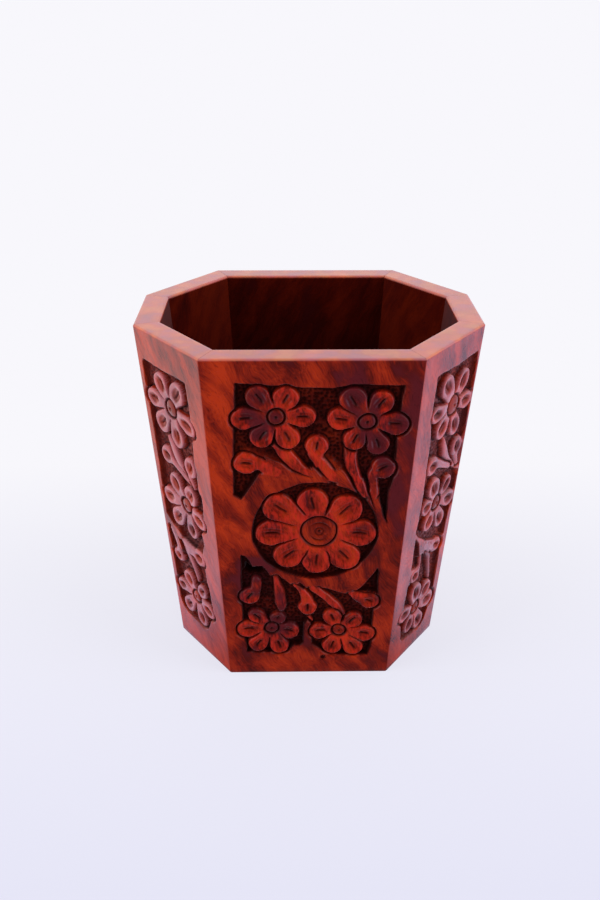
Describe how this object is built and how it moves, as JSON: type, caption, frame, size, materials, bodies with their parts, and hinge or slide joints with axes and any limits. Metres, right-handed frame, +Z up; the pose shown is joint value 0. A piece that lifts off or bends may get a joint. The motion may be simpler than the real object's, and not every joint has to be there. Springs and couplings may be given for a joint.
{
  "type": "pen stand",
  "caption": "Tapering wooden cup for pens and pencils, built from mitred staves around a flat base board, with floral relief carving on every face.",
  "frame": {"origin": "middle of the foot, on the surface the stand rests on", "axes": "+Z up; the wide front stave faces -Y; +X runs to the right as seen from the front"},
  "size_m": [0.0948, 0.0768, 0.104],
  "materials": {
    "carved_wood": "carved rosewood, stained red-brown and lacquered to a gloss",
    "base_wood": "plain planed rosewood, thin lacquer",
    "brad_steel": "dull steel wire brads under lacquer"
  },
  "bodies": {
    "root": {"front_panel": "carved_wood", "front_right_panel": "carved_wood", "right_panel": "carved_wood", "back_right_panel": "carved_wood", "back_panel": "carved_wood", "back_left_panel": "carved_wood", "left_panel": "carved_wood", "front_left_panel": "carved_wood", "base_board": "base_wood", "base_brads": "brad_steel"}
  },
  "joints": []
}
